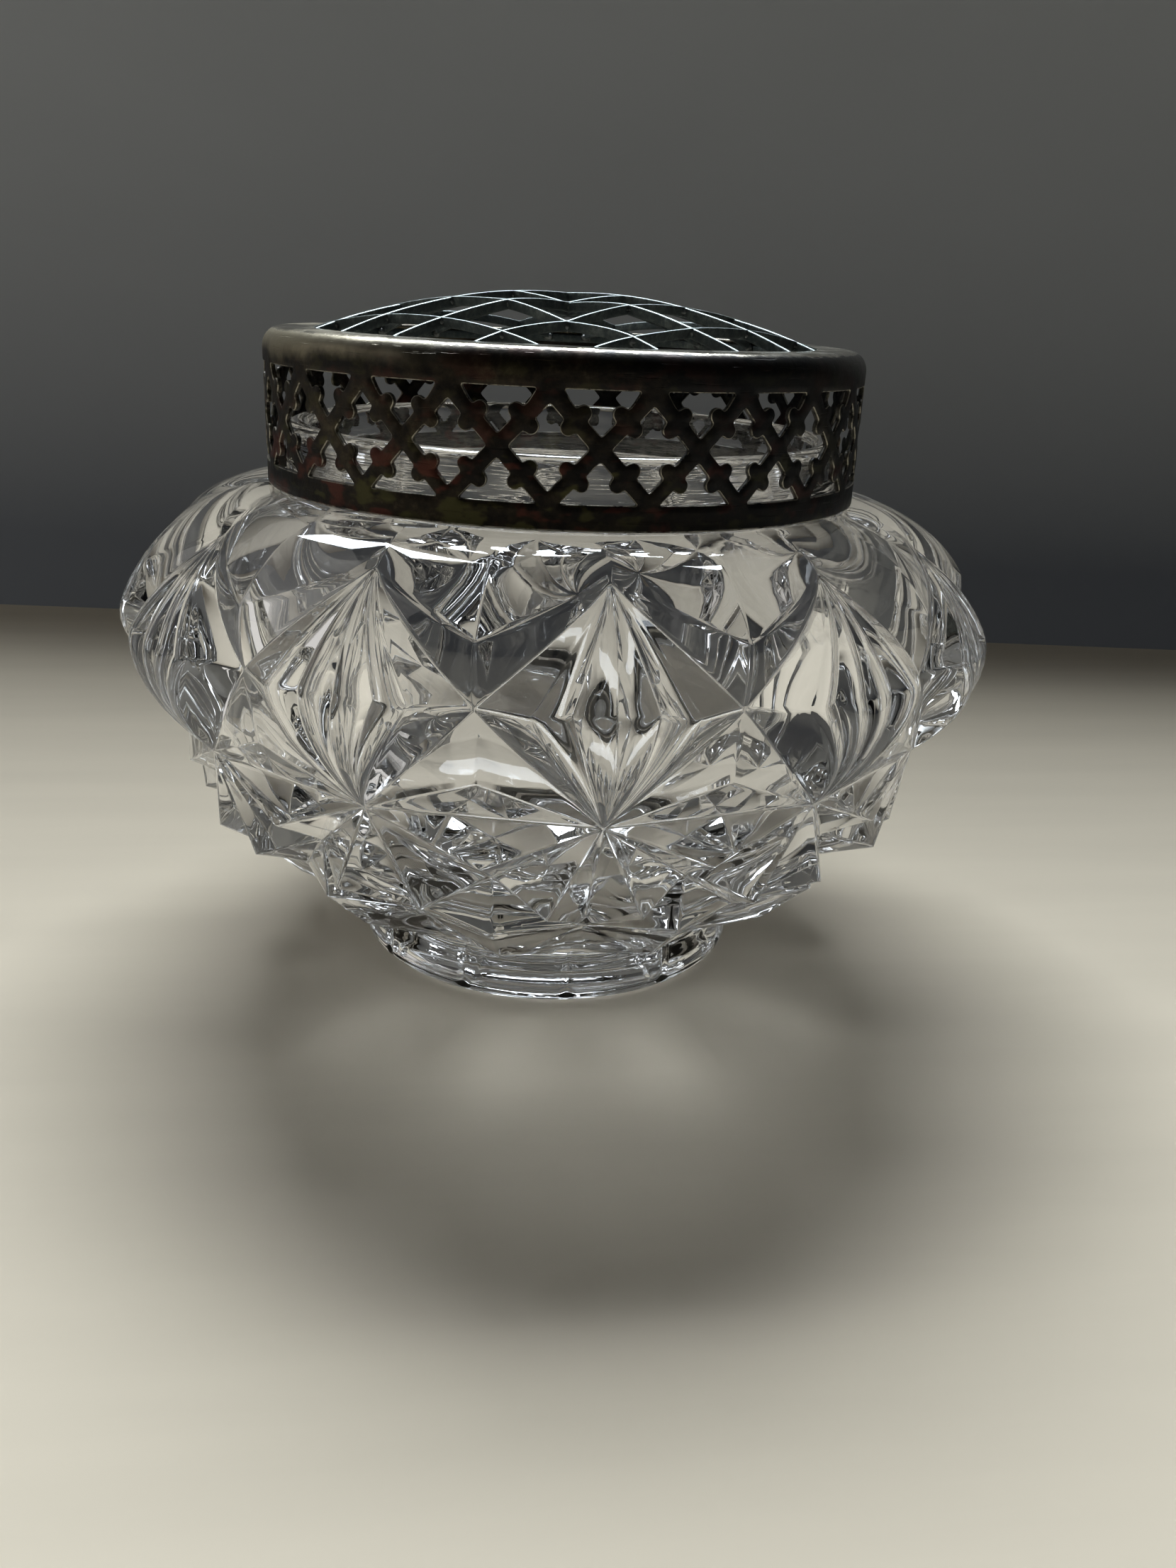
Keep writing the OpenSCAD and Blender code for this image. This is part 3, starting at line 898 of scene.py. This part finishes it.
collar_skin = Skin()
for repeat in range(piercings):
    wrap_repeat(collar_skin, repeat)
bend_r, bend_z = collar_r - corner_round, collar_top_z - corner_round
over_top = arc(bend_r, bend_z, corner_round, 0, 90, 9)
over_top += [(44, collar_top_z), (42.5, collar_top_z), (mouth_r + 0.25, collar_top_z),
             (mouth_r + 0.05, collar_top_z - 0.1), (mouth_r, collar_top_z - 0.35),
             (mouth_r + 0.05, collar_top_z - 0.6), (mouth_r + 0.25, collar_top_z - sheet),
             (43, collar_top_z - sheet)]
over_top += arc(bend_r, bend_z, corner_round - sheet, 90, 0, 7)
lower_edge = [(collar_r, pierce_mid_z + low_y), (collar_r - 0.06, collar_z + 0.07),
              (collar_r - 0.22, collar_z),
              (collar_r - sheet + 0.2, collar_z), (collar_r - sheet + 0.05, collar_z + 0.07),
              (collar_r - sheet, pierce_mid_z + low_y)]
for outline, worn in ((over_top, 0.0), (lower_edge, 0.7)):
    ring_set = [collar_ring(r, z) for r, z in outline]
    for low, high in zip(ring_set, ring_set[1:]):
        collar_skin.band(low, high, worn=worn)
make_piece("pierced_collar_plate", collar_skin, tarnished_plate, "lid",
           ["pierced_collar"])

# %% [markdown]
# ## The flower lattice
# Twelve strips stand on edge, six each way, on a dome. They are drawn one by one, because each is
# a separate piece of metal, and each wavers a little. At the front two of the crossings have been
# pushed in, by a millimetre or so, and the strips that meet there bend down with them.

# %% Follow one strip over the dome
dome_r = 118
dome_top_z = 111.45
strip_t = 0.65
strip_h = 1.4
cell_half_x, cell_half_y = 9.05, 8.75
strip_angle = math.atan2(cell_half_y, cell_half_x)
cell_side = math.hypot(cell_half_x, cell_half_y)
pushed_in = [(1, 1.45), (3, 1.25)]  # half cells in front of the middle, and how far down
lattice_turn = math.radians(-6.5)
strip_counts = (-5, -3, -1, 1, 3, 5)
strip_step = 0.6
end_r = mouth_r + 0.45
# Across and down as shares of the strip's thickness and height, and how worn the next side is.
strip_section = [(-0.5, -0.12, 0.5), (-0.42, -0.03, 1.0), (-0.26, 0, 1.0), (0.26, 0, 1.0),
                 (0.42, -0.03, 0.5), (0.5, -0.12, 0.3), (0.5, -0.4, 0.12), (0.5, -0.75, 0.0),
                 (0.5, -0.93, 0.1), (0.4, -1, 0.25), (-0.4, -1, 0.1), (-0.5, -0.93, 0.0),
                 (-0.5, -0.75, 0.12), (-0.5, -0.4, 0.45)]


def dome_z(x, y):
    """Height of the lattice's top over a point, with the two pushed-in crossings."""
    pushed = 0
    for cells, depth in pushed_in:
        away = math.hypot(x, y + cells * cell_half_y) / cell_side
        pushed += depth * max(0, 1 - away) ** 1.2
    return dome_top_z - dome_r + math.sqrt(dome_r ** 2 - x * x - y * y) - pushed


def waver(seed, distance):
    return noise.noise(Vector((distance * 0.09, seed * 7.3, 0.5)))


def strip_skin(count, direction):
    """Skin of the strip that passes count half cells from the middle; direction is 1 or -1."""
    angle = direction * strip_angle
    along = (math.cos(angle), math.sin(angle))
    start = (cell_half_x * count / 2, -direction * cell_half_y * count / 2)
    nearest = -(start[0] * along[0] + start[1] * along[1])
    foot = (start[0] + nearest * along[0], start[1] + nearest * along[1])
    reach = math.sqrt(end_r ** 2 - foot[0] ** 2 - foot[1] ** 2)
    seed = count + 20 * direction
    skin = Skin()
    rows = []
    for s in even_run(-reach, reach, round(2 * reach / strip_step)):
        held = min(1, (reach - abs(s)) / 6)  # the soldered ends don't waver
        sideways = 0.16 * waver(seed, s) * held
        x = foot[0] + s * along[0] - sideways * along[1]
        y = foot[1] + s * along[1] + sideways * along[0]
        z = dome_z(x, y) + 0.12 * waver(seed + 50, s) * held
        tilt = 0.09 * waver(seed + 90, s) * held
        row = []
        for across, down, _ in strip_section:
            a, d = across * strip_t, down * strip_h
            off = a * math.cos(tilt) + d * math.sin(tilt)
            lift = d * math.cos(tilt) - a * math.sin(tilt)
            outward = lift / dome_r
            corner = (x * (1 + outward) - off * along[1], y * (1 + outward) + off * along[0], z + lift)
            row.append(turned(corner, lattice_turn))
        rows.append(row)
    for low, high in zip(rows, rows[1:]):
        for k, (_, _, worn) in enumerate(strip_section):
            n = (k + 1) % len(row)
            skin.face(low[k], high[k], high[n], low[n], worn=worn)
    skin.face(*rows[0])
    skin.face(*rows[-1])
    return skin


# %% [markdown]
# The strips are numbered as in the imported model: set a leans one way, set b the other.

# %% Make the twelve strips
for letter, direction in (("a", 1), ("b", -1)):
    for number, count in enumerate(strip_counts, 1):
        make_piece(f"lattice_strip_{letter}{number}", strip_skin(count, direction), lattice_metal,
                   "lid", [f"strip_{letter}{number}"])

# %% [markdown]
# The strips' ends are soldered to a ring close under the collar's top face. The ring is a plain
# wire-like band with rounded edges, a little uneven where it was bent.

# %% Turn the edge ring
ring_w = 2.0
ring_round = 0.3
ring_low_z, ring_high_z = ring_low.z, ring_high.z
ring_columns = 180
ring_outer_r = mouth_r + ring_w
ring_outline = [(mouth_r + 0.2, ring_high_z - 0.05), (mouth_r + 0.03, ring_high_z - 0.25),
                (mouth_r + 0.03, ring_low_z + 0.3), (mouth_r + 0.25, ring_low_z + 0.05),
                (ring_outer_r - ring_round, ring_low_z), (ring_outer_r, ring_low_z + ring_round),
                (ring_outer_r, ring_high_z - ring_round), (ring_outer_r - ring_round, ring_high_z)]
ring_skin = Skin()
ring_rings = []
for r, z in ring_outline:
    ring = []
    for k in range(ring_columns):
        angle = math.tau * k / ring_columns
        uneven = 0.06 * noise.noise(Vector((4 * math.sin(angle), 4 * math.cos(angle), z)))
        ring.append(((r + uneven) * math.sin(angle), -(r + uneven) * math.cos(angle), z))
    ring_rings.append(ring)
for low, high in zip(ring_rings, ring_rings[1:] + ring_rings[:1]):
    ring_skin.band(low, high)
make_piece("lattice_edge_ring", ring_skin, lattice_metal, "lid", ["grille_edge_ring"])

# %% [markdown]
# Each crossing and each end has its own small lump of solder, flattened, uneven and drawn out a
# little along the strips that it holds.

# %% Add the solder
random.seed(4)
solder_rings = 5
solder_columns = 12
solder_skin = Skin()


def solder_lump(x, y, z, size, height):
    """A flattened lump round a joint of the lattice; x and y are on the lattice, before its turn."""
    swing = random.uniform(0, math.tau)
    rings = []
    for j in range(1, solder_rings + 1):
        rise = math.pi * j / (solder_rings + 1)
        ring = []
        for k in range(solder_columns):
            angle = math.tau * k / solder_columns
            drawn_out = 1 - 0.16 * math.cos(4 * angle) + 0.08 * math.sin(angle * 3 + swing)
            r = size * math.sin(rise) * drawn_out
            place = (x + r * math.cos(angle), y + r * math.sin(angle), z - height * math.cos(rise))
            ring.append(turned(place, lattice_turn))
        rings.append(ring)
    for low, high in zip(rings, rings[1:]):
        solder_skin.band(low, high)
    solder_skin.cap(rings[0], turned((x, y, z - height), lattice_turn))
    solder_skin.cap(rings[-1], turned((x, y, z + height), lattice_turn))


crossings = [(cell_half_x * (a + b) / 2, cell_half_y * (b - a) / 2)
             for a in strip_counts for b in strip_counts]
crossings = [(x, y) for x, y in crossings if math.hypot(x, y) < mouth_r - 1]
for x, y in crossings:
    sunk = 0.72 * random.uniform(0.95, 1.05)
    solder_lump(x, y, dome_z(x, y) - sunk, random.uniform(0.62, 0.8), 0.55)
for count in strip_counts:
    for direction in (1, -1):
        angle = direction * strip_angle
        offset = -direction * (cell_half_x * count * math.sin(strip_angle)
                               + cell_half_y * count * math.cos(strip_angle)) / 2
        reach = math.sqrt((mouth_r - 0.2) ** 2 - offset ** 2)
        for s in (-reach, reach):
            x = s * math.cos(angle) - offset * math.sin(angle)
            y = s * math.sin(angle) + offset * math.cos(angle)
            solder_lump(x, y, ring_high_z - 0.6, random.uniform(0.7, 1.0), 0.75)
make_piece("lattice_solder", solder_skin, solder, "lid")
print("soldered joints:", len(crossings), "crossings and", 4 * len(strip_counts), "ends")

# %% [markdown]
# ## The table, the wall and the light
# The bowl stands on a pale table under a window. The table ends behind it, and beyond is a plain
# dark wall, so clear glass shows pale below and dark above. A wide soft light hangs high behind
# the wall: it brightens every rim and crease, and throws a soft shadow forwards. The front gets
# only what the table sends back, a faint grey world and a little light from the left.

# %% Lay the table and stand the wall
table_back = 0.232
table_thick = 0.03
wall_back = 0.37
wall_thick = 0.05
wall_top = 0.47


def slab(name, low, high, colour, roughness, streak):
    """A plain block of the surroundings, its edges slightly rounded."""
    block = bmesh.new()
    bmesh.ops.create_cube(block, size=1)
    size = Vector(high) - Vector(low)
    middle = (Vector(high) + Vector(low)) / 2
    for vert in block.verts:
        vert.co = turn_bowl @ (Vector(vert.co * size) + middle)
    bmesh.ops.bevel(block, geom=block.edges[:], offset=0.003, segments=3, affect="EDGES")
    mesh = bpy.data.meshes.new(name)
    block.to_mesh(mesh)
    block.free()
    paint = Finish(name, Roughness=roughness, Specular_IOR_Level=0.12)
    shade = paint.grain(0.05, detail=5.0, stretch=(0.35, 3.0, 1.0))
    paint.feed(Base_Color=paint.ramp(shade, [(0.3, [c * (1 - streak) for c in colour]), (0.7, colour)]))
    mesh.materials.append(paint.material)
    piece = bpy.data.objects.new(name, mesh)
    bpy.context.scene.collection.objects.link(piece)


slab("pale_table", (-1.6, -1.8, -table_thick), (1.6, table_back, 0),
     (0.71, 0.63, 0.50), 0.75, 0.06)
slab("dark_wall", (-2.2, wall_back, -0.7), (2.2, wall_back + wall_thick, wall_top),
     (0.50, 0.525, 0.56), 0.6, 0.03)

# %% [markdown]
# Two soft lights are enough. The large one is the window, high behind the wall, so the wall keeps
# its light off the back of the table. The small one, low at the left, lifts the satin left end of
# the collar.

# %% Hang the lights
def soft_light(name, place, aim, width, height, watts, colour):
    lamp = bpy.data.lights.new(name, "AREA")
    lamp.shape = "RECTANGLE"
    lamp.size = width
    lamp.size_y = height
    lamp.energy = watts
    lamp.color = colour
    holder = bpy.data.objects.new(name, lamp)
    bpy.context.scene.collection.objects.link(holder)
    holder.location = turn_bowl @ Vector(place)
    towards = turn_bowl @ (Vector(aim) - Vector(place))
    holder.rotation_euler = towards.to_track_quat("-Z", "Y").to_euler()
    holder.visible_camera = False


soft_light("window_light", (-0.15, 1.32, 1.85), (0, 0, 0.06), 1.7, 0.85, 91, (0.87, 0.94, 1.0))
soft_light("side_glow", (-0.75, -0.05, 0.32), (0, 0, 0.08), 0.5, 0.5, 0.5, (1.0, 0.97, 0.92))
world = bpy.data.worlds.new("dim_room")
world.use_nodes = True
room_glow = world.node_tree.nodes["Background"]
room_glow.inputs["Color"].default_value = (0.75, 0.78, 0.82, 1)
room_glow.inputs["Strength"].default_value = 0.04
bpy.context.scene.world = world

# %% [markdown]
# ## Let light through the glass
# A path of light right through this bowl crosses four surfaces or more and is often turned back
# inside a wall, so it must be allowed more turns than usual, or the glass goes black.

# %% Allow enough turns of light
paths = bpy.context.scene.cycles
paths.max_bounces = 26
paths.transmission_bounces = 24
paths.glossy_bounces = 8
paths.diffuse_bounces = 4
paths.sample_clamp_indirect = 6
bpy.context.scene.view_settings.view_transform = "Standard"
print("turns of light allowed:", paths.max_bounces)
